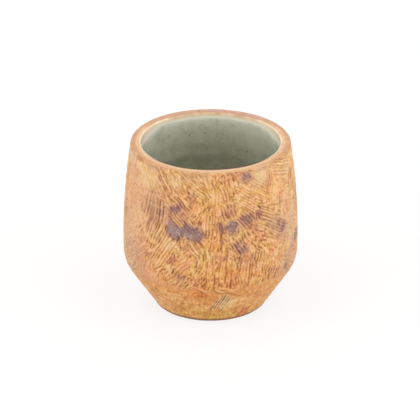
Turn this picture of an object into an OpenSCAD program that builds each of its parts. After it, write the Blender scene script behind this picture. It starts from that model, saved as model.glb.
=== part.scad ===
// Yunomi: a handleless stoneware tea cup with a bowed wall, a low turned corner and a bevel
// down to its foot. The clay is one thrown piece. A glaze lines the hollow, a combed slip
// covers the wall, a thin wash covers the bevel, and patches of iron slip are set in the
// combed slip.

/* [Cup] */
// Height from the table to the top of the lip
cup_h = 80; // [60:1:110]
// Outside diameter at the lip
lip_d = 73.5; // [62:0.5:85]
// Diameter of the corner between wall and bevel, before it is rounded
corner_d = 80.9; // [70:0.1:95]
// Height of that corner above the table
corner_h = 22; // [14:0.5:32]
// Length of wall and of bevel that the rounded corner takes up
corner_turn = 4.8; // [1:0.1:8]
// How far the wall bows out from a straight line
wall_bow = 1.4; // [0:0.1:4]

/* [Lip] */
// Thickness of the wall at the lip
lip_t = 4.7; // [3.5:0.1:7]
// Width of the rounding on each side of the lip
lip_turn = 1.4; // [0.4:0.1:1.7]

/* [Hollow] */
// Thickness of the wall at the corner
wall_t = 6; // [4:0.1:9]
// Height of the hollow's floor above the table
hollow_h = 9; // [7:0.5:13]
// Length of floor and of wall that the rounded bottom of the hollow takes up
hollow_turn = 20; // [14:0.5:26]

/* [Foot] */
// Outside diameter of the foot
foot_d = 51.4; // [44:0.2:58]
// Width of the ring that stands on the table
foot_ring_w = 6; // [4:0.5:9]
// Depth of the recess inside the ring
foot_recess = 3; // [1:0.5:4]
// Rounding of the ring's outer edge, and the slope of its inner side
foot_turn = 1; // [0.4:0.1:2]

/* [Coats] */
// Thickness of the combed slip on the wall
slip_t = 0.6; // [0.3:0.05:1.2]
// Thickness of the wash on the bevel
wash_t = 0.3; // [0.25:0.05:0.8]
// Thickness of the glaze in the hollow
lining_t = 0.6; // [0.3:0.05:1.2]
// Thickness of every coat at its edge
edge_t = 0.2; // [0.1:0.05:0.25]
// Length over which a coat thins towards its edge
edge_run = 6; // [3:0.5:9]
// Bare clay between the lip's rounding and the slip
lip_bare = 0.3; // [0.2:0.1:3]
// Bare clay between the foot's rounding and the wash
foot_bare = 0.4; // [0.2:0.1:3]

/* [Iron patches] */
// Width and height of the smallest patch, which the others are multiples of
patch_d = 3.2; // [2:0.1:4]

/* [Hidden] */

$fn = 180;
wall_steps = 12;
turn_steps = 6;
overrun = 1;

lip_r = lip_d / 2;
corner_r = corner_d / 2;
foot_r = foot_d / 2;
ring_in_r = foot_r - foot_ring_w;
corner = [corner_r, corner_h];
wall_run = norm([lip_r, cup_h] - corner);

// Round dabs of iron slip that run together into patches. Each row is the azimuth in degrees
// from the front, the height as a share of the wall above the corner, and the diameter as a
// multiple of the smallest patch.
dab_shares = [
    [-25, 0.5, 2.8], [-18.5, 0.53, 3], [-12, 0.515, 2.6], [-7.5, 0.49, 2],
    [-26, 0.68, 1.6], [-22, 0.69, 1.6],
    [-13, 0.76, 1.4],
    [-37, 0.65, 1.3],
    [9.5, 0.55, 1.2], [14, 0.56, 1.9],
    [10, 0.66, 1], [14, 0.67, 1.1],
    [25, 0.6, 1.9], [27.5, 0.54, 1.4],
    [33.5, 0.625, 1.3],
    [18, 0.39, 1.4], [21, 0.345, 1.6],
    [20, 0.24, 1.1],
    [8, 0.295, 1],
    [7, 0.44, 1],
    [30, 0.21, 1.2],
    [17, 0.12, 1.1],
    [41, 0.12, 1.1], [45, 0.1, 1.4],
    [51, 0.48, 1.5], [55, 0.42, 2],
    [58, 0.075, 1.1],
    [26, 0.935, 1.2],
    [-24, 0.26, 1.5],
    [-20, 0.11, 1.2], [-24, 0.1, 1.1],
    [-8, 0.085, 1.2],
    [-53, 0.16, 1.8],
    [-76, 0.48, 1.6],
    [76, 0.26, 1.9], [82, 0.24, 1.5],
    [104, 0.62, 2.1], [110, 0.61, 1.6],
    [128, 0.31, 1.6],
    [150, 0.69, 1.8], [155, 0.66, 1.5],
    [168, 0.22, 1.9],
    [-172, 0.51, 2.5], [-165, 0.5, 2.1],
    [-150, 0.79, 1.2],
    [-138, 0.28, 1.8],
    [-121, 0.58, 2.1], [-115, 0.59, 1.7],
    [-97, 0.34, 1.6], [-92, 0.78, 1.4],
];

function mix(a, b, t) = a + (b - a) * t;
function part_of(path, first, last) = [for (i = [first:last]) path[i]];
function reversed(path) = [for (i = [len(path) - 1:-1:0]) path[i]];

// A rounded corner from a to b, which leaves both along the lines to their corner
function rounded(a, c, b) = [
    for (i = [0:turn_steps])
        let (t = i / turn_steps)
        mix(mix(a, c, t), mix(c, b, t), t)
];

// Direction along a path at one of its points, and the path moved sideways into the clay
function along(path, i) = path[min(i + 1, len(path) - 1)] - path[max(i - 1, 0)];
function sunk(path, depths) = [
    for (i = [0:len(path) - 1])
        let (d = along(path, i) / norm(along(path, i)))
        path[i] + depths[i] * [-d[1], d[0]]
];

// Thickness of a coat at a distance from its nearest edge
function coat_at(t, distance) = mix(edge_t, t, min(distance / edge_run, 1));

// Outside of the wall and inside of the hollow, from the corner's height (0) to the lip (1)
function wall_at(t) = mix(corner, [lip_r, cup_h], t) + [4 * wall_bow * t * (1 - t), 0];
function hollow_at(t) = wall_at(t) - [mix(wall_t, lip_t, t), 0];

// Outside, from the table up to the lip
bevel_way = (corner - [foot_r, 0]) / norm(corner - [foot_r, 0]);
bevel_start = [foot_r, 0] + (foot_turn + foot_bare) * bevel_way;
corner_path = rounded(corner - corner_turn * bevel_way, corner, wall_at(corner_turn / wall_run));
slip_end_share = 1 - (lip_turn + lip_bare) / wall_run;
wall_path = [
    for (i = [1:wall_steps])
        wall_at(mix(corner_turn / wall_run, slip_end_share, i / wall_steps))
];
coated = concat([bevel_start, mix(bevel_start, corner_path[0], 1 / 2)], corner_path, wall_path);
meeting = 2 + turn_steps / 2;
coated_depths = [
    for (i = [0:len(coated) - 1])
        let (edge = i < meeting ? coated[0] : coated[len(coated) - 1])
        let (distance = min(norm(coated[i] - edge), norm(coated[i] - coated[meeting])))
        coat_at(i < meeting ? wash_t : slip_t, distance)
];
clay_outside = sunk(coated, coated_depths);

// Inside, from the lip down to the middle of the floor
mouth_r = lip_r - lip_t;
hollow_low_share = (hollow_h + hollow_turn - corner_h) / (cup_h - corner_h);
hollow_low = hollow_at(hollow_low_share);
lip_inside = rounded([mouth_r + lip_turn, cup_h], [mouth_r, cup_h], hollow_at(1 - lip_turn / wall_run));
hollow_path = [
    for (i = [1:wall_steps - 1])
        hollow_at(mix(1 - lip_turn / wall_run, hollow_low_share, i / wall_steps))
];
hollow_bottom = rounded(hollow_low, [hollow_low[0], hollow_h], [hollow_low[0] - hollow_turn, hollow_h]);
glazed = concat(lip_inside, hollow_path, hollow_bottom, [[0, hollow_h]]);
glazed_depths = [for (p = glazed) coat_at(lining_t, norm(p - glazed[0]))];
clay_inside = sunk(glazed, glazed_depths);

// The clay: foot, coated outside, bare lip and glazed hollow
foot_path = concat(
    [[0, foot_recess], [ring_in_r - foot_turn, foot_recess], [ring_in_r, 0]],
    rounded([foot_r - foot_turn, 0], [foot_r, 0], [foot_r, 0] + foot_turn * bevel_way)
);
lip_outside = rounded(wall_at(1 - lip_turn / wall_run), [lip_r, cup_h], [lip_r - lip_turn, cup_h]);
clay_outline = concat(
    foot_path, [coated[0]],
    clay_outside,
    [coated[len(coated) - 1]], lip_outside,
    [glazed[0]],
    clay_inside
);

module coat(outside, inside) {
    rotate_extrude() polygon(concat(outside, reversed(inside)));
}

module slip_shell() {
    last = len(coated) - 1;
    coat(part_of(coated, meeting, last), part_of(clay_outside, meeting, last));
}

// Every dab as a round bar from the axis out through the wall
module dab_bars() {
    for (dab = dab_shares)
        translate([0, 0, mix(corner_h, cup_h, dab[1])])
            rotate([90, 0, dab[0]])
                cylinder(h = corner_r + wall_bow + overrun, d = dab[2] * patch_d);
}

module stoneware_body() {
    color([0.85, 0.63, 0.48]) rotate_extrude() polygon(clay_outline);
}

module celadon_lining() {
    color([0.6, 0.62, 0.53]) coat(glazed, clay_inside);
}

module combed_slip_coat() {
    color([0.85, 0.65, 0.4]) difference() {
        slip_shell();
        dab_bars();
    }
}

module bevel_wash() {
    color([0.76, 0.56, 0.32]) coat(part_of(coated, 0, meeting), part_of(clay_outside, 0, meeting));
}

module iron_patches() {
    color([0.5, 0.42, 0.42]) intersection() {
        slip_shell();
        dab_bars();
    }
}

stoneware_body();
celadon_lining();
combed_slip_coat();
bevel_wash();
iron_patches();
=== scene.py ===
"""A stoneware yunomi: combed slip with iron patches, an ochre bevel and a celadon hollow.

Sizes are in millimetres until a mesh is made. Azimuth runs from the front (-Y) towards +X,
in degrees in the tables and in radians in the arrays. Heights of a surface are measured
outwards from the outline of the solids.
"""

import math

import bpy
import numpy as np
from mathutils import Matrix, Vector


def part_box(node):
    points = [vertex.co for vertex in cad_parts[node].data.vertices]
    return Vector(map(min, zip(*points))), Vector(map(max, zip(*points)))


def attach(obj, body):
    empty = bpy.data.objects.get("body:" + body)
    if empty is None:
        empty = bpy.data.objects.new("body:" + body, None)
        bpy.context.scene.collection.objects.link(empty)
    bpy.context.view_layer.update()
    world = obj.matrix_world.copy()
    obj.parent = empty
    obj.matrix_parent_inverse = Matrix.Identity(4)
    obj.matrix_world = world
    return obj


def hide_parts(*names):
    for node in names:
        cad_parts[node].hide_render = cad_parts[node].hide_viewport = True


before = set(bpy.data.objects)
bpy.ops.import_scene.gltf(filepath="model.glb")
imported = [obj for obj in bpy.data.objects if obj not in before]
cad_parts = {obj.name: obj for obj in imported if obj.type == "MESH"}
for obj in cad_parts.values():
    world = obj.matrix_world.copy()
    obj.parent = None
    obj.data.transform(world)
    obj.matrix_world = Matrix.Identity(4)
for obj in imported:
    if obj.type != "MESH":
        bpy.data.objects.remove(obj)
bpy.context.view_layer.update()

MM = 0.001

# Outline of the cup, as the solids have it
CUP_H = round(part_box("stoneware_body")[1][2] / MM, 3)
LIP_R = 36.75
LIP_T = 4.7
LIP_TURN = 1.4
LIP_BARE = 0.3
CORNER_R = 40.45
CORNER_H = 22.0
CORNER_TURN = 4.8
WALL_BOW = 1.4
WALL_T = 6.0
HOLLOW_H = 9.0
HOLLOW_TURN = 20.0
FOOT_R = 25.7
FOOT_RING = 6.0
FOOT_RECESS = 3.0
FOOT_TURN = 1.0

# How far a hand leaves the cup out of round: in two lobes and in three
OVAL = 0.06
LOBES = 0.04

# Coats: thicknesses, room under the solids' outline, and how far the slip climbs on the lip
SLIP_T = 0.62
WASH_T = 0.45
LINING_T = 0.6
SKIN = 0.06
FEATHER = 2.45
BACK_FEATHER = 0.9

# Combing: half width of a groove as a share of the pitch, depth of a groove that is fully dark, length
# of a sway, and millimetres around the wall for each degree
GROOVE_SHARE = 0.3
DARK_DEPTH = 0.36
SWAY_RUN = 7
MM_PER_DEGREE = 0.7

# Smeared ridges at the corner, and path length for each millimetre of height there
BURR_H = 0.22
CORNER_SLANT = 1.2

# Glaze: its throwing rings, its swelling under the lip and the swelling along the lip's front, which
# carries a dark line of painted shade
RING_PITCH = 8.5
SWELL_H = 0.32
BEAD_H = 0.55

# Noise: cells of its table, shift of an octave, and the usual range of the shaders' noise
NOISE_CELLS = 256
OCTAVE_SHIFT = 17.3
NOISE_RANGE = (0.3, 0.7)

# Mesh steps
FINE_STEP = 0.29
WASH_STEP = 0.34
LIP_STEP = 0.22
TOP_STEP = 0.25
FOOT_STEP = 0.4
PLAIN_STEP = 0.7
HIDDEN_STEP = 3.0
COLUMNS = 880
BODY_COLUMNS = 480

# Dabs of iron slip: azimuth, share of the wall's height above the corner, diameter / DAB_D, thickness
DAB_D = 3.2
DAB_SHARES = [
    (-23.8, 0.5, 2.6, 1), (-18, 0.52, 2.6, 1), (-12.5, 0.515, 2.6, 1), (-8.5, 0.49, 1.9, 0.9),
    (-26.3, 0.56, 1.5, 0.5), (-26, 0.68, 1.6, 0.3), (-22, 0.69, 1.6, 0.3),
    (-13, 0.76, 1.4, 0),
    (-35.5, 0.64, 1.3, 0.2),
    (7, 0.555, 1.4, 0.4), (14, 0.56, 1.9, 1),
    (10, 0.66, 1, 0.12), (14, 0.67, 1.1, 0.12),
    (25, 0.6, 1.9, 0.32), (27.8, 0.53, 1.4, 0.03),
    (34, 0.63, 1.5, 0.14),
    (18, 0.39, 1.4, 0.25), (21, 0.345, 1.6, 0.25),
    (20, 0.24, 1.1, 0.05),
    (8, 0.295, 1, 0),
    (7, 0.44, 0.8, 0),
    (30, 0.21, 1.2, 0),
    (17, 0.12, 1.1, 0.05),
    (41, 0.12, 1.1, 0), (45, 0.1, 1.3, 0.05),
    (51, 0.48, 1.3, 0.2), (55, 0.42, 1.6, 0.3),
    (58, 0.075, 1.1, 0.3),
    (24.2, 0.945, 1.3, 0.8), (26.8, 0.94, 1.3, 0.8),
    (-24, 0.26, 1.5, 0),
    (-20, 0.11, 1.2, 0.15), (-24, 0.1, 1.1, 0),
    (-8, 0.085, 1.2, 0),
    (-53, 0.16, 1.8, 0),
    (-76, 0.48, 1.6, 0.1),
    (76, 0.26, 1.9, 0.4), (82, 0.24, 1.5, 0.4),
    (104, 0.62, 2.1, 0.9), (110, 0.61, 1.6, 0.6),
    (128, 0.31, 1.6, 0.3),
    (150, 0.69, 1.8, 0.5), (155, 0.66, 1.5, 0.3),
    (168, 0.22, 1.9, 0.3),
    (-172, 0.51, 2.5, 1), (-165, 0.5, 2.1, 0.9),
    (-150, 0.79, 1.2, 0.2),
    (-138, 0.28, 1.8, 0.3),
    (-121, 0.58, 2.1, 0.7), (-115, 0.59, 1.7, 0.6),
    (-97, 0.34, 1.6, 0.2), (-92, 0.78, 1.4, 0.4),
]

# Streaks where a comb has rubbed the iron away: azimuth, height, angle, length, half width
RUBBED = [
    (-22.3, 56.6, -50, 8, 1.3), (-16.5, 47.6, -62, 4, 1.0), (-11.5, 56.0, -40, 4, 1.0),
    (176, 50, 40, 6, 1.0), (-119, 56, -50, 6, 1.1),
]

# Thin smears of iron between the dabs: azimuth, height, angle, length, half width
SMEAR_THICKNESS = 0.15
SMEARS = [
    (-28.0, 57.8, 86, 7.0, 1.5), (-30.5, 61.8, 12, 4.5, 0.9), (-13.4, 66.5, 86, 4.0, 0.9),
    (22.5, 57.5, -60, 4.0, 0.8), (-168, 56, 60, 6, 1.2),
]

# How the combing runs: azimuth, height, angle of the lines from the horizontal, share of the depth
COMB_ZONES = [
    # Left of the front, upper half
    (-52, 74, 86, 0.4), (-52, 64, 88, 0.45), (-52, 52, 80, 0.45), (-44, 72, 88, 0.5),
    (-43, 60, 76, 1), (-40, 50, 70, 1), (-36, 57, 84, 0.9), (-34, 72, -52, 1), (-36, 66, -40, 0.8),
    (-27, 76, -55, 0.7), (-22, 72, -60, 0.6), (-16, 76, -45, 1), (-19, 66, -45, 1),
    (-15, 70, -70, 0.8), (-25, 61, -45, 0.8), (-20, 55, -48, 1), (-30, 58, 80, 0.6),
    (-32, 51, 65, 1), (-27, 48, 62, 1), (-15, 45, -60, 1), (-25, 44, 60, 0.8), (-45, 45, 70, 0.6),
    # Front, upper half
    (-8, 73, -42, 1), (-6, 78, -50, 0.5), (-7, 62, 86, 0.8), (-3, 60, 88, 1), (0, 66, 88, 0.8),
    (2, 74, 84, 0.8), (5, 68, -75, 0.8), (9, 74, -80, 0.8), (12, 68, -70, 0.9), (15, 77, -50, 0.7),
    (19, 70, -38, 1), (24, 66, -35, 1), (28, 72, -35, 1), (28, 62, -40, 1), (11, 61, -72, 1),
    (18, 60, -60, 0.8), (14, 54, 75, 0.6), (25, 55, -52, 1), (29, 48, -50, 1), (21, 50, -65, 0.9),
    (7, 50, 88, 0.9), (2, 50, 86, 1), (-1, 55, 88, 1), (6, 45, 86, 1), (13, 46, -70, 1),
    (20, 44, -60, 1), (27, 43, 80, 0.8), (-9, 44, -55, 1), (-4, 47, -65, 0.8), (0, 43, 80, 1),
    # Right of the front, upper half
    (55, 76, -17, 1), (40, 78, -15, 0.5), (35, 70, -35, 1), (30, 66, -38, 1), (34, 62, -30, 1),
    (44, 72, 85, 0.6), (52, 70, 88, 0.3), (47, 62, 88, 0.4), (57, 63, -25, 0.4), (53, 58, 85, 0.5),
    (42, 57, -28, 1), (40, 52, -35, 1), (47, 50, -30, 1), (30, 50, -50, 1), (34, 46, -45, 1),
    (38, 44, -40, 1), (44, 44, -30, 0.6), (62, 50, 80, 0.4), (62, 70, -20, 0.5), (66, 60, -25, 0.4),
    # Left of the front, lower half
    (-58, 45, 70, 0.4), (-48, 46, 70, 0.6), (-42, 47, 65, 1), (-36, 45, 62, 0.9), (-50, 36, 40, 0.6),
    (-45, 30, 80, 0.5), (-42, 37, 40, 0.7), (-38, 34, 55, 0.9), (-32, 30, 58, 1), (-33, 38, 58, 0.8),
    (-36, 25, 50, 0.6), (-25, 37, 70, 0.9), (-24, 31, 80, 0.8), (-19, 40, 52, 0.7), (-16, 44, -65, 1),
    (-18, 34, 38, 0.9), (-19, 27, 50, 0.8), (-14, 37, 60, 0.9), (-14, 30, 62, 0.9), (-28, 24, 65, 0.8),
    # Front, lower half
    (-12, 44, -60, 0.9), (-7, 42, -65, 1), (-10, 36, 75, 1), (-7, 31, 65, 1), (-10, 27, 75, 1),
    (-3, 37, -55, 0.6), (1, 40, 88, 1), (1, 31, 84, 1), (4, 35, 84, 1), (5, 26, 80, 1), (8, 41, 86, 1),
    (9, 35, 86, 0.8), (9, 29, 84, 0.8), (14, 39, 84, 1), (14, 33, 86, 1), (13, 27, 84, 0.8),
    (17, 43, -60, 1), (21, 35, 84, 1), (20, 29, 86, 1), (25, 40, 80, 0.8), (26, 33, 86, 1),
    (27, 27, 84, 1), (30, 36, 84, 1),
    # Right of the front, lower half
    (36, 44, -45, 1), (37, 40, -60, 0.9), (36, 35, 70, 0.9), (40, 31, 60, 0.8), (33, 30, 80, 0.9),
    (45, 38, 85, 0.6), (45, 32, 75, 0.7), (43, 27, 75, 0.9), (52, 42, -35, 0.6), (52, 34, 60, 0.6),
    (55, 28, -30, 0.6), (60, 38, 60, 0.5), (66, 44, -30, 0.4), (66, 32, -30, 0.5), (75, 40, -20, 0.5),
    # Sides and back
    (-80, 70, 88, 0.5), (-80, 50, 84, 0.6), (-80, 32, 70, 0.7), (-66, 72, 88, 0.4), (-66, 54, 82, 0.4),
    (-64, 34, 45, 0.6), (78, 70, 80, 0.5), (80, 55, -60, 0.7), (84, 34, 75, 0.8), (100, 70, -50, 0.9),
    (100, 50, 70, 1), (105, 32, 45, 0.9), (120, 62, -20, 1), (122, 42, -60, 1), (125, 28, 85, 0.9),
    (140, 72, 60, 0.8), (142, 52, 85, 1), (140, 35, -45, 1), (160, 60, -55, 1), (162, 42, 30, 1),
    (160, 27, 80, 1), (180, 72, 85, 0.7), (180, 52, -50, 1), (182, 33, 60, 1), (-160, 64, 25, 1),
    (-160, 45, 75, 1), (-158, 29, -60, 1), (-140, 72, -65, 0.8), (-140, 53, 85, 1), (-138, 36, 50, 1),
    (-120, 64, -35, 1), (-120, 46, -55, 1), (-118, 29, 85, 0.9), (-100, 72, 70, 0.6),
    (-100, 52, 45, 0.9), (-98, 33, -50, 0.9),
]

# Deep strokes laid last: azimuth, height, angle, length, teeth, pitch, depth
STROKES = [
    (-44, 60, 79, 14, 4, 1.65, 0.4), (-37, 57, 87, 13, 4, 1.6, 0.38), (-42, 49, 68, 9, 5, 1.6, 0.38),
    (-34, 50, 66, 9, 5, 1.55, 0.4), (-32.8, 72.2, -53, 15, 3, 1.5, 0.42),
    (-21, 56, -46, 14, 4, 1.4, 0.32), (-22, 65.5, -45, 7, 3, 1.5, 0.3), (-16, 76, -42, 8, 4, 1.4, 0.32),
    (-11, 44, -55, 8, 4, 1.5, 0.28), (-8, 72.5, -38, 10, 4, 1.35, 0.26), (2, 68, 87, 9, 4, 1.6, 0.28),
    (10, 69.5, -76, 9, 3, 1.5, 0.24), (-1.5, 70.5, -50, 5, 3, 1.4, 0.3),
    (6.5, 67.5, 20, 3, 2, 1.5, 0.3), (12, 61, -72, 6, 5, 1.5, 0.36), (24.5, 56.5, -50, 9, 5, 1.5, 0.26),
    (34, 70, -36, 13, 6, 1.2, 0.24), (27, 64, -36, 11, 5, 1.2, 0.26), (24, 71, -38, 8, 4, 1.25, 0.24),
    (57, 76, -19, 17, 6, 1.4, 0.24), (45.5, 71.5, 88, 8, 3, 1.3, 0.28), (49, 50, -32, 16, 5, 1.45, 0.3),
    (40, 57, -30, 10, 5, 1.35, 0.28), (47.6, 69, 88, 14, 1, 1.8, 0.12),
    (18.5, 43.5, -60, 8, 4, 1.5, 0.3), (-19.5, 26.5, 42, 5, 2, 1.6, 0.24),
    (-18, 35, 36, 5, 4, 1.45, 0.24), (-2.5, 33, 87, 12, 1, 1.5, 0.3), (1.5, 38, 89, 10, 1, 1.5, 0.32),
    (2.4, 28, 86, 8, 1, 1.5, 0.3), (5.8, 32, 85, 12, 1, 1.5, 0.3), (9.5, 30, 87, 10, 1, 1.5, 0.3),
    (11, 38, 84, 7, 1, 1.5, 0.3), (13.5, 32, 88, 12, 1, 1.5, 0.3), (16.5, 28, 86, 6, 1, 1.5, 0.28),
    (-1, 56, 88, 12, 3, 1.45, 0.28), (-33, 38, 58, 17, 6, 1.45, 0.26), (26, 32, 84, 11, 3, 1.6, 0.28),
    (72, 66, 80, 12, 4, 1.6, 0.34), (82, 52, -58, 12, 5, 1.55, 0.34), (88, 36, 76, 11, 4, 1.6, 0.34),
    (98, 70, -50, 13, 5, 1.5, 0.36), (103, 50, 70, 12, 4, 1.6, 0.38), (108, 33, 44, 11, 5, 1.5, 0.36),
    (119, 63, -22, 15, 5, 1.5, 0.36), (124, 43, -60, 12, 4, 1.6, 0.38), (126, 29, 84, 9, 4, 1.55, 0.34),
    (139, 71, 58, 12, 5, 1.5, 0.36), (143, 53, 86, 13, 4, 1.6, 0.38), (141, 36, -44, 11, 5, 1.5, 0.36),
    (158, 61, -54, 14, 5, 1.5, 0.38), (163, 42, 30, 12, 4, 1.55, 0.36), (161, 28, 80, 9, 4, 1.6, 0.34),
    (178, 72, 84, 11, 4, 1.55, 0.34), (179, 53, -50, 13, 5, 1.5, 0.38),
    (-177, 34, 60, 12, 4, 1.6, 0.36), (-162, 65, 26, 14, 5, 1.5, 0.36),
    (-159, 46, 76, 12, 4, 1.6, 0.38), (-157, 30, -58, 10, 5, 1.5, 0.34),
    (-141, 71, -64, 12, 4, 1.55, 0.36), (-139, 54, 84, 13, 5, 1.5, 0.38),
    (-137, 37, 50, 12, 4, 1.6, 0.36), (-121, 65, -36, 14, 5, 1.5, 0.36),
    (-119, 47, -54, 12, 4, 1.6, 0.36), (-117, 30, 84, 9, 4, 1.55, 0.34),
    (-101, 70, 68, 12, 4, 1.6, 0.34), (-99, 52, 46, 13, 5, 1.5, 0.36),
    (-97, 34, -50, 11, 4, 1.55, 0.34), (-80, 66, 86, 12, 4, 1.6, 0.3), (-78, 46, 82, 11, 4, 1.6, 0.3),
    (-72, 33, 66, 10, 4, 1.5, 0.3),
]

# Soft spots of colour on the slip: azimuth, height, radius, paler (+) or redder (-). The redder spots at
# (-62, 63) and (-56, 39) on the left edge and at (-46, 25) in the lower left corner are painted shade.
TONE_SPOTS = [
    (-47, 73, 11, 0.2), (-4, 40, 6, 0.5), (21, 51, 4, 0.5), (28, 68, 9, 0.15), (60, 76, 9, 0.1),
    (38, 74, 5, 0.5), (-30, 45, 7, 0.45), (-5, 78, 7, 0.5), (-24, 75, 7, 0.25), (22, 46, 4, 0.2),
    (-13, 66, 4, -0.4), (-25, 37, 4, -0.3), (-24, 31, 4, -0.3), (14, 78, 5, -0.8), (5, 48, 5, -0.3),
    (31, 50, 7, -0.25), (13, 26, 5, -0.4), (-8, 27, 6, -0.25), (33, 28, 3, -0.45), (-2, 52, 4, -0.15),
    (5, 37, 6, -0.1), (44, 73, 4, -0.6), (-62, 63, 14, -0.95), (-56, 39, 8, -0.5), (-46, 25, 7, -0.9),
    (44, 70, 5, -0.6), (36, 37, 5, 0.4), (20, 79, 5, -0.5), (56, 66, 5, -0.4), (55, 42, 5, -1.0),
    (25, 38, 6, -0.6), (-6, 42, 6, 0.3), (45, 38, 4, -0.4), (64, 54, 5, -0.5), (15, 66, 5, 0.3),
    (-14, 60, 4, -0.5), (-4, 38, 5, 0.3), (54, 58, 4, -0.25), (-34, 25, 5, -0.3), (27, 72, 3, -0.2),
    (-52, 32, 8, -0.5), (14, 60, 4, -0.6), (90, 62, 9, -0.4), (112, 44, 9, 0.4), (134, 60, 8, -0.4),
    (152, 36, 9, 0.4), (172, 60, 10, 0.4), (-176, 42, 8, -0.4), (-150, 56, 9, 0.3), (-130, 34, 9, -0.4),
    (-108, 66, 9, 0.4), (-96, 44, 9, -0.3), (-15, 36, 5, -0.5), (-16, 30, 5, -0.3), (65, 72, 5, 0.7),
    (-5, 72, 4, -0.3), (22, 66, 5, 0.3), (25, 54, 4, 0.4), (-25, 48, 5, 0.4), (35, 40, 4, 0.3),
]

# Olive spots where the slip is smooth and pale: azimuth, height, radius, strength
OLIVE_SPOTS = [
    (-47, 73, 8, 0.8), (-4, 77.5, 5, 0.6), (-25, 76, 6, 0.6), (-26, 72, 4, 0.4), (37, 75.5, 7, 1.0),
    (31, 74, 4, 0.4), (-30, 45, 6, 0.5), (21, 52, 4, 0.3), (-6, 68, 5, 0.2), (-4, 38, 5, 0.15),
    (95, 70, 9, 0.6), (150, 45, 9, 0.5), (-105, 60, 9, 0.6), (-155, 35, 8, 0.5), (178, 66, 9, 0.6),
]

# Dusty, less yellow areas, with painted sheen at the edges: azimuth, height, radius, strength. The greyer
# areas near the left and right edges, at azimuths -68 to -64 and 65 to 66, are painted sheen, a reflection
# of the white surroundings at a grazing angle.
DUSTY_AND_SHEEN_AREAS = [
    (-45, 58, 14, 0.7), (-64, 70, 14, 0.7), (-68, 50, 16, 0.7), (-64, 30, 16, 1.2), (65, 26, 12, 1.4),
    (66, 48, 14, 0.9), (47, 51.5, 6, 1.0), (35, 54, 5, 0.5), (25, 36, 5, 0.4), (55, 44, 7, 0.6),
    (-39, 68, 8, 0.5), (-15, 78, 6, 0.5), (28, 78, 6, 0.4), (120, 55, 20, 0.6), (-140, 60, 20, 0.6),
    (170, 40, 16, 0.5), (-78, 78.5, 9, 1.2), (65, 72, 6, 0.6), (-55, 33, 8, 0.5),
]

# Golden, more yellow areas: azimuth, height, radius, strength
GOLDEN_AREAS = [
    (-5, 65, 8, 0.8), (5, 48, 6, 1.0), (46, 66, 8, 0.5), (0, 28, 12, 1.0), (16, 31, 9, 0.8),
    (-25, 36, 5, 0.8), (44, 30, 6, 0.9), (-6, 23, 6, 0.8), (25, 24, 6, 0.6), (25, 54, 4, 0.5),
    (14, 61, 5, 0.4), (36, 37, 5, 0.6), (-14, 66, 4, 0.4), (90, 40, 16, 0.7), (140, 65, 14, 0.7),
    (-170, 30, 16, 0.8), (-125, 40, 16, 0.7), (-90, 65, 14, 0.5),
]

# Iron rubbed thin over the combing, and one spot of painted shade: azimuth, height, radius, strength. The
# spot at (-46, 24), in the lower left corner, is painted shade.
STAINS_AND_SHADE = [
    (-44, 60, 6, 0.35), (-37, 58, 4.5, 0.6), (-41, 50, 5, 0.3), (-28.3, 57.5, 3.2, 1.0),
    (-24, 62, 4, 0.7), (-15, 60, 4, 0.35), (-19, 58, 4, 0.5), (-26, 53, 4, 0.6), (-13, 67, 3, 0.3),
    (-14, 46, 4, 0.4), (7, 53.5, 2.2, 0.9), (12, 60.5, 4.5, 0.65), (25, 57, 4.5, 0.4), (27, 51, 4, 0.3),
    (33.5, 58.5, 4, 0.5), (18, 43.5, 4, 0.5), (20, 38, 3, 0.4), (44, 51, 4.5, 0.5), (52, 47, 5, 0.2),
    (58, 46, 4, 0.4), (54, 60, 4, 0.45), (25.5, 77, 3, 1.0), (-20, 28, 4, 0.4), (-25, 36, 3, 0.3),
    (-25, 31, 3, 0.3), (-55, 31, 5, 0.4), (62, 24, 4, 0.6), (68, 34, 4, 0.5), (45, 28, 3, 0.5),
    (-46, 79, 4, 0.45), (-41, 78.8, 2.2, 0.5), (-35, 78.8, 2, 0.5), (8, 48, 3, 0.3), (-50, 43, 4, 0.35),
    (30, 34, 3, 0.2), (45, 72.6, 3.6, 0.35), (40.5, 71.2, 2.4, 0.3), (16, 79, 4, 0.5),
    (-46, 24, 6, 0.45), (37, 79, 1.6, 0.6), (41, 79, 1.6, 0.6), (45, 78.6, 2.5, 0.3), (84, 46, 6, 0.5),
    (108, 56, 7, 0.5), (132, 40, 6, 0.5), (156, 58, 7, 0.5), (-170, 46, 7, 0.5), (-146, 68, 6, 0.5),
    (-128, 50, 7, 0.5), (-104, 34, 6, 0.5),
]

# Smeared ridges of slip along the corner: from azimuth and height to azimuth and height
BURRS = [
    (4.0, 24.2, 19.8, 21.6), (9.0, 22.6, 19.0, 20.2), (1.5, 23.6, 9.0, 21.2), (-8.8, 24.0, -1.5, 21.5),
    (64, 21.8, 76, 22.6), (90, 22.8, 104, 21.6), (97, 21.8, 110, 20.6), (118, 21.2, 126, 22.6),
    (136, 23.2, 150, 21.8), (158, 22.0, 170, 22.8), (176, 22.8, 192, 21.4), (-160, 22.4, -148, 21.2),
    (-142, 21.4, -131, 23.0), (-122, 23.0, -110, 22.0), (-100, 21.6, -86, 22.8), (-78, 23.0, -68, 21.6),
]

# Comb marks on the bevel, as the strokes above
BEVEL_STROKES = [
    (12.2, 15.5, 74, 6, 2, 1.4, 0.16), (7.6, 13.4, 74, 13, 5, 1.25, 0.3), (74, 12, 58, 8, 3, 1.3, 0.24),
    (133, 14, -62, 10, 4, 1.3, 0.3), (-150, 11, 64, 9, 3, 1.25, 0.28), (-88, 13, -66, 7, 3, 1.3, 0.24),
]

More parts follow.
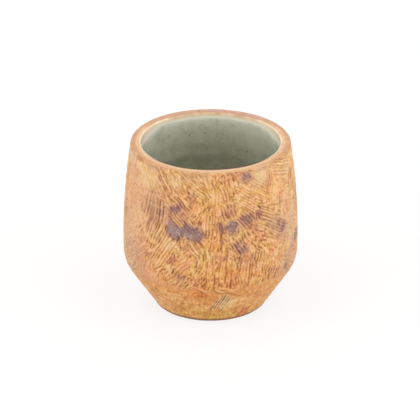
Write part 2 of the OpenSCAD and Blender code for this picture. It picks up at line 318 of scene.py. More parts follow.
# Soft spots of colour on the bevel: azimuth, height, radius, paler (+) or darker (-)
BEVEL_TONES = [
    (14, 12, 5, 0.3), (22, 15, 5, 0.3), (-32, 15, 6, 0.2), (-14, 7, 4, 0.1), (-6, 9, 4, 0.1),
    (20, 18, 3, -0.3), (-26, 8, 4, -0.2), (31, 5, 4, -0.2), (2, 18, 4, -0.05), (-11, 19, 4, -0.05),
]

# Where the bevel is orange (+) or olive (-): azimuth, height, radius, strength
BEVEL_HUES = [
    (-3, 18, 7, 0.8), (-14, 18, 6, 0.6), (4, 16, 4, 0.5), (31, 5, 5, 0.8), (-36, 9, 5, 0.3),
    (0, 4, 7, -0.7), (-10, 6, 6, -0.5), (11, 5, 6, -0.8), (19, 6, 4, -0.6), (15, 13, 5, -0.3),
]

rng = np.random.default_rng(11)


def mix(a, b, t):
    return a + (b - a) * t


def ramp(low, high, value):
    """0 up to low, 1 from high on, and a smooth rise between them."""
    t = np.clip((value - low) / (high - low), 0, 1)
    return t * t * (3 - 2 * t)


def noise(points, size, seed, octaves=1):
    """Smooth noise from about -1 to 1 at points, with features of the given size."""
    source = np.random.default_rng(seed)
    table = source.permutation(NOISE_CELLS)
    values = source.uniform(-1, 1, NOISE_CELLS)
    total = 0
    for octave in range(octaves):
        q = np.asarray(points) * (2**octave / size) + OCTAVE_SHIFT * octave
        cell = np.floor(q).astype(int)
        f = ramp(0, 1, q - cell)
        found = 0
        for corner in np.ndindex(2, 2, 2):
            x, y, z = np.moveaxis(cell + corner, -1, 0) % NOISE_CELLS
            weight = np.prod(np.where(corner, f, 1 - f), axis=-1)
            place = table[(table[(table[x] + y) % NOISE_CELLS] + z) % NOISE_CELLS]
            found = found + weight * values[place]
        total = total + found / 2**octave
    return total


class Path:
    """A line in the (radius, height) plane, followed by distance, with the clay on its left."""

    def __init__(self, *stretches):
        points = np.concatenate([np.atleast_2d(np.asarray(s, float)) for s in stretches])
        apart = np.linalg.norm(np.diff(points, axis=0), axis=1)
        keep = np.concatenate([[True], apart > 1e-9])
        self.points = points[keep]
        self.s = np.concatenate([[0], np.cumsum(np.linalg.norm(np.diff(self.points, axis=0), axis=1))])
        self.length = self.s[-1]

    def at(self, s):
        return np.stack([np.interp(s, self.s, self.points[:, k]) for k in (0, 1)], axis=-1)

    def normal(self, s, reach=0.15):
        way = self.at(np.minimum(s + reach, self.length)) - self.at(np.maximum(s - reach, 0))
        way = way / np.linalg.norm(way, axis=-1, keepdims=True)
        return np.stack([way[..., 1], -way[..., 0]], axis=-1)


def turn(start, corner, end, count=40):
    """A rounded corner from start to end."""
    t = np.linspace(0, 1, count)[:, None]
    start, corner, end = (np.asarray(p, float) for p in (start, corner, end))
    return mix(mix(start, corner, t), mix(corner, end, t), t)


CORNER = np.array([CORNER_R, CORNER_H])
LIP = np.array([LIP_R, CUP_H])
FOOT = np.array([FOOT_R, 0.0])
WALL_RUN = np.linalg.norm(LIP - CORNER)
BEVEL_WAY = (CORNER - FOOT) / np.linalg.norm(CORNER - FOOT)
MOUTH_R = LIP_R - LIP_T


def wall_at(t):
    t = np.atleast_1d(t)[:, None]
    return mix(CORNER, LIP, t) + 4 * WALL_BOW * t * (1 - t) * [1, 0]


def hollow_at(t):
    return wall_at(t) - mix(WALL_T, LIP_T, np.atleast_1d(t)[:, None]) * [1, 0]


# Outside of the cup from the foot's edge to the lip, and inside from the lip to the floor
wall_shares = np.linspace(CORNER_TURN / WALL_RUN, 1 - LIP_TURN / WALL_RUN, 300)
outside = Path(
    FOOT + FOOT_TURN * BEVEL_WAY,
    turn(CORNER - CORNER_TURN * BEVEL_WAY, CORNER, wall_at(wall_shares[0])[0]),
    wall_at(wall_shares),
    turn(wall_at(wall_shares[-1])[0], LIP, LIP - [LIP_TURN, 0]),
)
low_share = (HOLLOW_H + HOLLOW_TURN - CORNER_H) / (CUP_H - CORNER_H)
hollow_low_r = hollow_at(low_share)[0, 0]
hollow_shares = np.linspace(1 - LIP_TURN / WALL_RUN, low_share, 300)
inside = Path(
    turn([MOUTH_R + LIP_TURN, CUP_H], [MOUTH_R, CUP_H], hollow_at(hollow_shares[0])[0]),
    hollow_at(hollow_shares),
    turn(
        hollow_at(low_share)[0],
        [hollow_low_r, HOLLOW_H],
        [hollow_low_r - HOLLOW_TURN, HOLLOW_H],
    ),
    [0, HOLLOW_H],
)
CORNER_S = np.interp(CORNER_H, outside.points[:, 1], outside.s)
SLIP_TOP_S = np.interp(CUP_H - LIP_TURN - LIP_BARE, outside.points[:, 1], outside.s)


def placed(rz, azimuth):
    """Points of a turned surface, a little out of round and uneven at the lip, as a hand leaves it."""
    r, z = rz[..., 0], rz[..., 1]
    sway = OVAL * np.cos(2 * azimuth + 0.7) + LOBES * np.cos(3 * azimuth - 1.2 + z / 30)
    sway = sway - (OVAL + LOBES) * ramp(CUP_H, CUP_H - 20, z)
    wave = OVAL * np.cos(2 * azimuth - 0.3) + LOBES * np.cos(3 * azimuth + 0.5) - (OVAL + LOBES)
    r = r + sway * ramp(2, 20, z) * ramp(0, 12, r)
    z = z + wave * ramp(CUP_H - 25, CUP_H, z)
    return np.stack([r * np.sin(azimuth), -r * np.cos(azimuth), z], axis=-1)


def slip_edge(azimuth):
    """Where the combed slip ends on the lip's rounding: it climbs furthest at the front."""
    return SLIP_TOP_S + mix(BACK_FEATHER, FEATHER, ramp(-0.1, 0.5, np.cos(azimuth)))


def glaze_edges(azimuth):
    """Where the glaze begins, thin and creamy, and where it is full, from the lip's inner rounding."""
    back = -np.cos(azimuth)
    return mix(-1.6, 0.9, ramp(0.3, 0.95, back)), mix(8.5, 4.2, ramp(0.2, 0.8, back))


def steps(start, *runs):
    """Distances from a start through runs, each of which has its end and its step."""
    rows = np.array([start], float)
    for end, step in runs:
        count = max(2, int(round(abs(end - rows[-1]) / step)) + 1)
        rows = np.concatenate([rows, np.linspace(rows[-1], end, count)[1:]])
    return rows


def new_object(name, data):
    """An object in the scene."""
    thing = bpy.data.objects.new(name, data)
    bpy.context.scene.collection.objects.link(thing)
    return thing


def new_piece(what, finish, points, faces, uv, values):
    """A piece in the frame. What it is: its name, the node that it replaces, and its slot, which is not
    used.
    """
    name, node, slot = what
    mesh = bpy.data.meshes.new(name)
    mesh.from_pydata(points * MM, [], [face for group in faces for face in group.tolist()])
    mesh.shade_smooth()
    layer = mesh.uv_layers.new(name="OFBake")
    layer.uv.foreach_set("vector", uv.astype(np.float32).ravel())
    for key, value in values.items():
        attribute = mesh.attributes.new(key, "FLOAT", "POINT")
        attribute.data.foreach_set("value", np.asarray(value, np.float32).ravel())
    piece = new_object(name, mesh)
    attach(piece, "root")
    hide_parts(node)
    mesh.materials.append(finish)


def grid_quads(rows, columns, closed=False):
    """Quads of a grid whose last column joins its first one, and the rows too if it is closed."""
    index = np.arange(rows * columns).reshape(rows, columns)
    index = np.pad(index, ((0, int(closed)), (0, 1)), "wrap")
    return np.stack([index[:-1, :-1], index[:-1, 1:], index[1:, 1:], index[1:, :-1]], axis=-1)


def turned_piece(what, finish, points, values, map_rows, poles=None, strips=1):
    """A closed turned surface. Its rows close on themselves, or on two poles on the axis."""
    rows, columns = points.shape[:2]
    quads = grid_quads(rows, columns, closed=poles is None)
    strip, column = np.divmod(np.arange(columns), columns // strips)
    left, right = column / (columns // strips), (column + 1) / (columns // strips)

    def on_map(u, v):
        return np.stack(np.broadcast_arrays(u, (strip + v) / strips), axis=-1)

    low, high = map_rows[: len(quads), None], map_rows[1 : len(quads) + 1, None]
    corners = [on_map(left, low), on_map(right, low), on_map(right, high), on_map(left, high)]
    uv = [np.stack(corners, axis=2).reshape(-1, 2)]
    faces = [quads.reshape(-1, 4)]
    points = points.reshape(-1, 3)
    values = {k: np.broadcast_to(x, (rows, columns)).ravel() for k, x in values.items()}
    if poles is not None:
        pole = np.full(columns, len(points))
        faces.append(np.stack([pole, quads[0, :, 1], quads[0, :, 0]], axis=-1))
        faces.append(np.stack([quads[-1, :, 3], quads[-1, :, 2], pole + 1], axis=-1))
        middle = (left + right) / 2
        first, last = map_rows[0], map_rows[rows - 1]
        tips = [
            [on_map(middle, 0.0), on_map(right, first), on_map(left, first)],
            [on_map(left, last), on_map(right, last), on_map(middle, 1.0)],
        ]
        uv += [np.stack(tip, axis=1).reshape(-1, 2) for tip in tips]
        points = np.concatenate([points, [[0, 0, z] for z in poles]])
        values = {k: np.concatenate([x, [x[0], x[-1]]]) for k, x in values.items()}
    new_piece(what, finish, points, faces, np.concatenate(uv), values)


def srgb(red, green, blue):
    """A colour given in 0 to 255 display values, as the shaders take it."""
    c = np.array([red, green, blue]) / 255
    linear = np.where(c <= 0.04045, c / 12.92, ((c + 0.055) / 1.055) ** 2.4)
    return (*linear.tolist(), 1.0)


class Nodes:
    """A node tree with short ways to add and join its nodes."""

    def __init__(self, tree):
        self.tree = tree

    def add(self, kind, inputs=(), **settings):
        node = self.tree.nodes.new(kind)
        for key, value in settings.items():
            setattr(node, key, value)
        for key, value in dict(inputs).items():
            self.put(node.inputs[key], value)
        return node

    def put(self, socket, value):
        if isinstance(value, bpy.types.NodeSocket):
            self.tree.links.new(value, socket)
        else:
            socket.default_value = value

    def math(self, operation, a, b):
        return self.add("ShaderNodeMath", {0: a, 1: b}, operation=operation).outputs[0]

    def seen_directly(self):
        """1 for rays from the camera, from gloss and through glass, and 0 for the light on the object."""
        path = self.add("ShaderNodeLightPath").outputs
        seen = self.math("MAXIMUM", path["Is Camera Ray"], path["Is Glossy Ray"])
        return self.math("MAXIMUM", seen, path["Is Transmission Ray"])

    def surface(self, output, share, a, b):
        """Joins the shader nodes a and b to an output, with a share of b."""
        mixed = self.add("ShaderNodeMixShader", {0: share, 1: a.outputs[0], 2: b.outputs[0]})
        self.put(self.tree.nodes[output].inputs["Surface"], mixed.outputs[0])


class Finish(Nodes):
    """A new node material. The colours that it blends are given in 0 to 255 display values."""

    def __init__(self, name):
        self.material = bpy.data.materials.new(name)
        self.material.use_nodes = True
        super().__init__(self.material.node_tree)
        self.shader = self.tree.nodes["Principled BSDF"]
        self.place = self.add("ShaderNodeTexCoord").outputs["Object"]

    def set(self, **inputs):
        for key, value in inputs.items():
            self.put(self.shader.inputs[key.replace("_", " ")], value)

    def value(self, name):
        return self.add("ShaderNodeAttribute", attribute_name=name).outputs["Fac"]

    def noise(self, size, detail, stretch=(1, 1, 1)):
        """Noise from 0 to 1 with features of a size in millimetres."""
        spread = self.add("ShaderNodeMapping", {"Vector": self.place, "Scale": stretch})
        inputs = {"Vector": spread.outputs[0], "Scale": 1 / (size * MM), "Detail": detail}
        return self.add("ShaderNodeTexNoise", inputs).outputs[0]

    def span(self, value, low, high, to_low=0.0, to_high=1.0):
        inputs = {0: value, 1: low, 2: high, 3: to_low, 4: to_high}
        return self.add("ShaderNodeMapRange", inputs).outputs[0]

    def spread(self, noise, to_low, to_high):
        """The usual range of a noise, brought to another one."""
        return self.span(noise, *NOISE_RANGE, to_low, to_high)

    def added(self, name, noise, to_low, to_high):
        """A value of the mesh with a noise on it."""
        return self.math("ADD", self.value(name), self.spread(noise, to_low, to_high))

    def blend(self, share, colour, over, kind="MIX"):
        if not isinstance(over, bpy.types.NodeSocket):
            over = srgb(*over)
        node = self.add("ShaderNodeMix", {0: share, 6: colour, 7: over}, data_type="RGBA", blend_type=kind)
        return node.outputs[2]

    def tinted(self, colour, tints):
        """A colour with others over it: the mesh value that each follows, its share, colour and kind."""
        for name, share, over, *kind in tints:
            colour = self.blend(self.math("MULTIPLY", self.value(name), share), colour, over, *kind)
        return colour

    def colours(self, value, stops):
        """A colour that follows a value through stops: the value there, red, green and blue."""
        node = self.add("ShaderNodeValToRGB", {0: value})
        elements = node.color_ramp.elements
        while len(elements) < len(stops):
            elements.new(0.5)
        for element, (at, *colour) in zip(elements, stops):
            element.position = at
            element.color = srgb(*colour)
        return node.outputs[0]

    def finished(self, colour, roughness, bump):
        """The material, with a fine bump: its size and depth in millimetres, and its strength."""
        size, depth, strength = bump
        inputs = {"Height": self.noise(size, 2), "Distance": depth * MM, "Strength": strength}
        normal = self.add("ShaderNodeBump", inputs).outputs[0]
        self.set(Base_Color=colour, Roughness=roughness, Normal=normal)
        return self.material


class Sheet:
    """Rows of a path turned through all columns, with ways to find a place on them."""

    def __init__(self, path, rows, columns):
        self.path = path
        self.rows = rows
        self.s = rows[:, None]
        self.r, self.z = path.at(rows).T[..., None]
        self.azimuth = np.arange(columns) * (2 * math.pi / columns)
        self.shape = (len(rows), columns)
        self.points = self.raised(0.0)

    def raised(self, height):
        height = np.broadcast_to(height, self.shape)
        rz = self.path.at(self.s) + self.path.normal(self.s) * height[..., None]
        return placed(rz, self.azimuth)

    def noise(self, size, seed, octaves=1, stretch=(1, 1, 1)):
        return noise(self.points * stretch, size, seed, octaves)

    def window(self, azimuth, height, reach):
        """Rows and columns near a place, and their distances across and up from it."""
        radii, heights = self.path.points.T
        s = np.interp(height, heights, self.path.s)
        r = np.interp(height, heights, radii)
        rows = np.flatnonzero(np.abs(self.rows - s) <= reach)
        turned = (self.azimuth - math.radians(azimuth) + math.pi) % (2 * math.pi) - math.pi
        columns = np.flatnonzero(np.abs(turned) * r <= reach)
        across = self.r[rows] * turned[columns]
        up = np.broadcast_to(self.s[rows] - s, across.shape)
        return np.ix_(rows, columns), across, up

    def streak(self, azimuth, height, way, length, reach):
        """Rows and columns near a straight streak, and their distances along it and aside from it."""
        window, across, up = self.window(azimuth, height, length / 2 + reach)
        along = across * math.cos(way) + up * math.sin(way)
        aside = up * math.cos(way) - across * math.sin(way)
        return window, along, aside

    def spots(self, table, spread=0.7):
        """Sum of soft round spots, each with its own strength."""
        total = np.zeros(self.shape)
        for azimuth, height, radius, strength in table:
            window, across, up = self.window(azimuth, height, 2 * radius)
            total[window] += strength * np.exp(-(across**2 + up**2) / (spread * radius) ** 2)
        return total


class Combing:
    """Grooves that combs leave in a wet sheet: depth, darkness, each stroke's tint and what is combed."""

    def __init__(self, sheet, dark=0.0):
        self.sheet = sheet
        self.cut = 0.05 * sheet.noise(0.9, 3, stretch=(1, 1, 0.25)) - 0.05
        self.dark = np.full(sheet.shape, dark)
        self.tint = np.zeros(sheet.shape)
        self.combed = np.zeros(sheet.shape)
        self.broken = sheet.noise(1.6, 5, 2)

    def draw(self, azimuth, height, angle, length, teeth, pitch, depth, tint=0.0, firm=0.0, wave=0.11):
        """Draws one stroke: each tooth leaves a groove and wipes out what it crosses.

        A firm stroke (1) has grooves that are less broken than a loose one's (0). Its lines sway by
        the wave.
        """
        way, reach = math.radians(angle), teeth * pitch / 2 + 1
        window, a, b = self.sheet.streak(azimuth, height, way, length, reach)
        if not a.size:
            return
        bend, phase = rng.uniform(-0.4, 0.4), rng.uniform(0, 6.3)
        b = b + bend * (2 * a / length) ** 2 + wave * np.sin(2 * math.pi * a / SWAY_RUN + phase)
        tooth = np.floor(b / pitch + teeth / 2).astype(int)
        on_comb = (tooth >= 0) & (tooth < teeth)
        tooth = np.clip(tooth, 0, teeth - 1)
        whole = mix(mix(0.4, 0.75, firm), 1.15, ramp(-0.5, 0.4, self.broken[window]))
        bite = rng.uniform(mix(0.6, 0.8, firm), 1.1, teeth)[tooth] * whole
        aside = rng.uniform(-0.2, 0.2, teeth)[tooth]
        shift = rng.uniform(-0.18, 0.18, teeth)[tooth] * length
        frac = b / pitch + teeth / 2 - tooth - 0.5 - aside
        groove = np.exp(-((frac / GROOVE_SHARE) ** 2))
        here = 0.94 * ramp(0, min(1.3, 0.4 * length), length / 2 - np.abs(a - shift)) * on_comb
        self.cut[window] = mix(self.cut[window], -depth * bite * groove, here)
        self.dark[window] = mix(self.dark[window], min(1.0, depth / DARK_DEPTH) * bite * groove, here)
        self.tint[window] = mix(self.tint[window], tint, here)
        self.combed[window] = np.maximum(self.combed[window], here)

    def cover(self, strokes, lengths, teeth, pitches, depths, stray):
        """Covers the sheet with strokes that run about as the nearest zone says."""
        zones = np.array(COMB_ZONES, float)
        for _ in range(strokes):
            azimuth, height = rng.uniform(-180, 180), rng.uniform(CORNER_H, CUP_H - 1)
            apart = (zones[:, 0] - azimuth + 180) % 360 - 180
            nearest = np.argmin((apart * MM_PER_DEGREE) ** 2 + (zones[:, 1] - height) ** 2)
            self.draw(
                azimuth, height, zones[nearest, 2] + rng.normal(0, stray), rng.uniform(*lengths),
                rng.integers(*teeth), rng.uniform(*pitches), rng.uniform(*depths) * zones[nearest, 3],
                rng.normal(0, 0.2),
            )


def burr_lines(sheet):
    """Smeared ridges along the corner, and a dark line of painted shadow under each, both from 0 to 1."""
    ridge, under = np.zeros(sheet.shape), np.zeros(sheet.shape)
    for az_0, z_0, az_1, z_1 in BURRS:
        over = math.radians(az_1 - az_0) * CORNER_R
        rise = CORNER_SLANT * (z_1 - z_0)
        length = np.hypot(over, rise)
        middle = ((az_0 + az_1) / 2, (z_0 + z_1) / 2)
        window, a, b = sheet.streak(*middle, math.atan2(rise, over), length, 2)
        b = b + rng.uniform(-0.6, 0.6) * (2 * a / length) ** 2 + 0.12 * np.sin(a * 1.3 + rng.uniform(0, 6))
        here = ramp(0, 0.35 * length, length / 2 - np.abs(a))
        ridge[window] = np.maximum(ridge[window], here * np.exp(-((b / 0.5) ** 2)))
        under[window] = np.maximum(under[window], here * np.exp(-(((b + 0.9) / 0.38) ** 2)))
    return ridge, under


def iron_field(sheet):
    """How deep in a patch of iron slip each point lies, its thickness there, and its dab's thickness."""
    field = np.full(sheet.shape, -4.0)
    thick = np.zeros(sheet.shape)
    weight = np.zeros(sheet.shape)
    stray = [0.9 * sheet.noise(3.4, seed) + 0.45 * sheet.noise(1.3, seed + 1) for seed in (31, 41)]
    for azimuth, share, size, thickness in DAB_SHARES:
        radius = size * DAB_D / 2
        window, across, up = sheet.window(azimuth, mix(CORNER_H, CUP_H, share), radius + 5)
        far = np.hypot(across + stray[0][window], up + stray[1][window])
        weight[window] = np.where(radius - far > field[window], thickness, weight[window])
        field[window] = np.maximum(field[window], radius - far)
        thick[window] = np.maximum(thick[window], thickness * ramp(-0.4, 0.8, radius - far))
    for azimuth, height, angle, length, width in SMEARS:
        window, along, aside = sheet.streak(azimuth, height, math.radians(angle), length, width + 4)
        far = np.hypot((np.abs(along) - length / 2).clip(0), np.abs(aside) + 0.5 * stray[0][window])
        weight[window] = np.where(width - far > field[window], SMEAR_THICKNESS, weight[window])
        field[window] = np.maximum(field[window], width - far)
    for azimuth, height, angle, length, width in RUBBED:
        window, along, aside = sheet.streak(azimuth, height, math.radians(angle), length, width)
        rubbed = ramp(width, 0.3 * width, np.abs(aside)) * ramp(length / 2, length / 3, np.abs(along))
        field[window] -= 4 * rubbed
    return field, thick, weight


# Combed slip on the wall

slip = Sheet(outside, steps(CORNER_S - 2.5, (SLIP_TOP_S + FEATHER + 0.1, FINE_STEP)), COLUMNS)
combing = Combing(slip, dark=0.4)
combing.cover(1000, lengths=(4, 10), teeth=(3, 7), pitches=(1.4, 1.95), depths=(0.28, 0.48), stray=10)
combing.cover(1200, lengths=(2.5, 5.5), teeth=(2, 5), pitches=(1.4, 2.0), depths=(0.24, 0.48), stray=14)
combing.cover(400, lengths=(1.5, 3.2), teeth=(1, 3), pitches=(1.4, 2.1), depths=(0.16, 0.44), stray=24)
for stroke in STROKES:
    combing.draw(*stroke, firm=0.45)
above_corner = slip.s - CORNER_S
under_lip = slip_edge(slip.azimuth) - slip.s
ragged = slip.noise(4, 51)
comb_share = ramp(-1.5, 1.5, above_corner + 1.3 * ragged) * ramp(-0.3, 0.3, under_lip + 0.2 * ragged)
# How dark the grooves are painted: partly the slip's own colour, partly painted shade in the grooves.
grooves = combing.dark * comb_share
slip_burr, slip_burr_shadow = burr_lines(slip)
slip_height = combing.cut * comb_share + BURR_H * slip_burr - SKIN
slip_height = slip_height - 0.5 * ramp(-0.8, -2.5, above_corner + slip.noise(5, 71))
slip_height = slip_height - 0.36 * ramp(0.4, -0.3, under_lip + 0.3 * slip.noise(3, 72))
iron, iron_thick, iron_weight = iron_field(slip)
fringe = mix(0.15, 0.8, ramp(0, 0.25, iron_weight)) * ramp(-1.6, 0.2, iron + 0.6 * slip.noise(2.5, 45))
# One spot of the table, in the lower left corner, is painted shade in the colours of the rubbed iron.
stain_and_shade = np.maximum(fringe, slip.spots(STAINS_AND_SHADE))
stain_and_shade = (stain_and_shade * (1 + 0.5 * slip.noise(1.7, 46))).clip(0, 1)


def slip_tone():
    """Colour of the slip from reddish (0) to pale straw (1)."""
    tone = 0.44 + 0.2 * slip.noise(10, 81) + 0.36 * slip.noise(3.2, 82, 2) + combing.tint
    tone = tone + 0.06 * ramp(52, 74, slip.z) - 0.14 * ramp(46, 26, slip.z)
    return tone + slip.spots(TONE_SPOTS, 0.6)


def make_coat(what, finish, sheet, height, sunk, values):
    """A coat on the outside: its visible face, and a plain hidden face under it."""
    back = Sheet(outside, steps(sheet.rows[-1], (sheet.rows[0], HIDDEN_STEP)), sheet.shape[1])
    nearest = np.searchsorted(sheet.rows, back.rows).clip(0, len(sheet.rows) - 1)
    points = np.concatenate([sheet.raised(height), back.raised(-sunk)])
    values = {k: np.broadcast_to(x, sheet.shape) for k, x in values.items()}
    values = {k: np.concatenate([x, x[nearest]]) for k, x in values.items()}
    seen_rows = np.linspace(0, 0.97, len(sheet.rows))
    hidden_rows = np.linspace(0.975, 1, len(back.rows) + 1)
    turned_piece(what, finish, points, values, np.concatenate([seen_rows, hidden_rows]), strips=2)


def make_slip():
    side = ramp(0.95, 0.7, np.cos(slip.azimuth))
    values = {
        "tone": slip_tone(),
        "groove": grooves,
        "stain_and_shade": stain_and_shade,
        "olive": slip.spots(OLIVE_SPOTS).clip(0, 1),
        "dusty_and_sheen": slip.spots(DUSTY_AND_SHEEN_AREAS).clip(0, 1),
        "golden": slip.spots(GOLDEN_AREAS).clip(0, 1),
        # Painted shade: the slip is darkened on the upward-facing rounding at the top of the wall, most at
        # the sides.
        "brow_shade": ramp(77.4, 79.0, slip.z) * mix(0.55, 0.95, side),
        "burr": slip_burr,
        # Painted shadow under the smeared ridges at the corner
        "under": slip_burr_shadow,
        # Painted shade: the slip is darkened along its top edge on the lip's rounding.
        "lip": ramp(1.5, -0.2, under_lip + 0.5 * ragged),
        "bevel": ramp(2.5, -1.5, above_corner + ragged),
    }
    what = ("cup_slip", "combed_slip_coat", "combed_slip")
    make_coat(what, slip_finish(), slip, slip_height, SLIP_T, values)


def slip_finish():
    f = Finish("combed_slip")
    grain = f.noise(0.8, 3)
    groove = f.added("groove", grain, 0.1, -0.1)
    # From the crests (0) to the groove bottoms (1): partly the slip's own colour, partly painted highlight
    # on the crests and painted shade in the grooves.
    red = f.colours(groove, [
        (0.0, 244, 180, 128), (0.3, 210, 139, 84), (0.7, 170, 102, 56), (1.0, 146, 84, 46),
    ])
    pale = f.colours(groove, [
        (0.0, 250, 210, 162), (0.3, 226, 178, 119), (0.7, 188, 134, 77), (1.0, 164, 109, 61),
    ])
    rust_and_shade = f.colours(groove, [
        (0.0, 194, 142, 116), (0.3, 176, 122, 98), (0.7, 148, 98, 78), (1.0, 130, 84, 68),
    ])
    colour = f.blend(f.added("tone", grain, -0.28, 0.28), red, pale)
    colour = f.blend(f.span(f.noise(3.2, 3), 0.47, 0.62), colour, (248, 246, 208), "MULTIPLY")
    colour = f.tinted(colour, [
        ("olive", 0.5, (222, 192, 140)),
        ("golden", 0.8, (255, 244, 212), "MULTIPLY"),
        # Painted shade on the top rounding of the wall
        ("brow_shade", 0.9, (224, 216, 204), "MULTIPLY"),
        # Iron rubbed thin, and painted shade in the lower left corner
        ("stain_and_shade", 0.9, rust_and_shade),
        # Painted shade along the slip's top edge on the lip
        ("lip", 0.4, (216, 168, 112)),
        ("bevel", 0.8, (216, 142, 84)),
        # Less yellow areas, and painted sheen near the left and right edges
        ("dusty_and_sheen", 0.38, (188, 159, 139)),
        # Painted shadow under each smeared ridge at the corner
        ("under", 0.9, (146, 78, 34)),
        ("burr", 0.9, (250, 188, 126)),
    ])
    return f.finished(colour, f.spread(grain, 0.42, 0.58), bump=(0.35, 0.05, 0.6))


# Iron slip that lies in the grooves and over the ridges of the combing

def make_iron():
    """Thin lenses in the combed slip: they fill its grooves first and cover its ridges at their hearts."""
    reach = iron + mix(2.6, 1.0, iron_thick) * (grooves - 0.5) + 0.6 * slip.noise(0.9, 47)
    inside_patch = reach > -0.6
    inside_patch[:3] = inside_patch[-3:] = False
    rows, columns = inside_patch.shape
    pairs = inside_patch & np.roll(inside_patch, -1, axis=1)
    cells = pairs[:-1] & pairs[1:]
    heart = iron_thick * ramp(0.0, 2.4, iron + 0.8 * slip.noise(2.4, 48))
    top = mix(slip_height, 0.75 * slip_height - 0.02, heart) + mix(-0.12, 0.03, ramp(-0.4, 0.1, reach))
    top = np.minimum(top, -SKIN / 2)
    every = grid_quads(rows, columns)
    used = every[cells]
    count = rows * columns
    faces = [used, used[:, ::-1] + count]
    for k, (step, axis) in enumerate([(1, 0), (-1, 1), (-1, 0), (1, 1)]):
        edge = every[cells & ~np.roll(cells, step, axis)]
        a, b = edge[:, k], edge[:, (k + 1) % 4]
        faces.append(np.stack([b, a, a + count, b + count], axis=-1))
    kept, faces = np.unique(np.concatenate(faces), return_inverse=True)
    faces = faces.reshape(-1, 4)
    upper = slip.raised(top).reshape(-1, 3)
    lower = slip.raised(-SLIP_T + 0.02).reshape(-1, 3)
    points = np.concatenate([upper, lower])[kept]
    place = kept % count
    u, v = (place % columns) / columns, (place // columns) / rows
    uv = np.stack([u, np.where(kept < count, 0.97 * v, 0.97 + 0.03 * v)], axis=-1)
    values = {"heart": heart, "weight": iron_weight, "groove": grooves}
    values = {k: x.ravel()[place] for k, x in values.items()}
    what = ("cup_iron", "iron_patches", "iron_slip")
    new_piece(what, iron_finish(), points, [faces], uv[faces.ravel()], values)


def iron_finish():
    f = Finish("iron_slip")
    grain = f.noise(0.8, 3)
    cloud = f.span(f.noise(2.4, 4), 0.4, 0.6)
    groove = f.added("groove", grain, 0.32, -0.32)
    heart = f.added("heart", grain, -0.15, 0.15)
    # Darker in the grooves: partly the iron slip's own colour, partly painted shade.
    faint = f.colours(groove, [(0.0, 222, 158, 112), (0.4, 190, 124, 82), (1.0, 156, 96, 62)])
    russet = f.colours(groove, [(0.0, 180, 126, 102), (0.4, 152, 100, 80), (1.0, 118, 72, 58)])
    mauve = f.colours(groove, [(0.0, 170, 129, 120), (0.4, 142, 104, 97), (1.0, 112, 76, 70)])
    grey = f.colours(groove, [(0.0, 174, 145, 141), (0.4, 148, 122, 120), (1.0, 114, 90, 90)])
    colour = f.blend(f.span(f.value("weight"), 0.0, 0.25), faint, russet)
    colour = f.blend(f.span(heart, 0.05, 0.5), colour, mauve)
    colour = f.blend(f.math("MULTIPLY", f.span(heart, 0.4, 0.9), cloud), colour, grey)
    return f.finished(colour, f.spread(grain, 0.46, 0.6), bump=(0.4, 0.04, 0.5))


# Ochre wash on the bevel

def make_wash():
    wash = Sheet(outside, steps(0.3, (CORNER_S + 2.5, WASH_STEP)), COLUMNS)
    above = wash.s - CORNER_S
    turned = noise(wash.s * [1, 0, 0], 0.8, 91)[:, None]
    marks = Combing(wash)
    for stroke in BEVEL_STROKES:
        marks.draw(*stroke, wave=0.03)
    burr, under = burr_lines(wash)
    hue = 0.3 * wash.noise(7, 97, 2) + wash.spots(BEVEL_HUES)
    tone = 0.5 + 0.06 * wash.noise(8, 93, 1, (1, 1, 1.6)) + 0.26 * wash.noise(1.9, 94, 2, (1, 1, 0.7))
    height = 0.03 * turned + 0.05 * wash.noise(2.2, 92, 2) + marks.cut + BURR_H * burr - SKIN - 0.02
    height = height - 0.6 * ramp(0.2, 2.5, above) - 0.12 * ramp(1.2, 0.2, wash.s)
    values = {
        "tone": tone + wash.spots(BEVEL_TONES),
        "orange": hue.clip(0, 1),
        "olive": (-hue).clip(0, 1),
        # Darker comb marks on the bevel: partly the wash's own colour, partly painted shade in the marks.
        "mark": marks.dark,
        # Painted highlight: the combed crests between the marks on the bevel are paler.
        "crest_highlight": marks.combed * ramp(0.35, 0.0, marks.dark),
        "burr": burr,
        # Painted shadow under the smeared ridges at the corner
        "under": under,
        "low": ramp(12, 3, wash.z + 3 * wash.noise(6, 95)),
        # Darker at the foot's edge: partly the dark edge of the clay, partly painted contact shadow.
        "foot": ramp(1.1, 0.2, wash.s),
        "turned": ramp(0.1, 0.8, -turned),
        "corner": ramp(-7, -1, above + 2 * wash.noise(6, 96)),
    }
    what = ("cup_wash", "bevel_wash", "ochre_wash")
    make_coat(what, wash_finish(), wash, height, WASH_T, values)


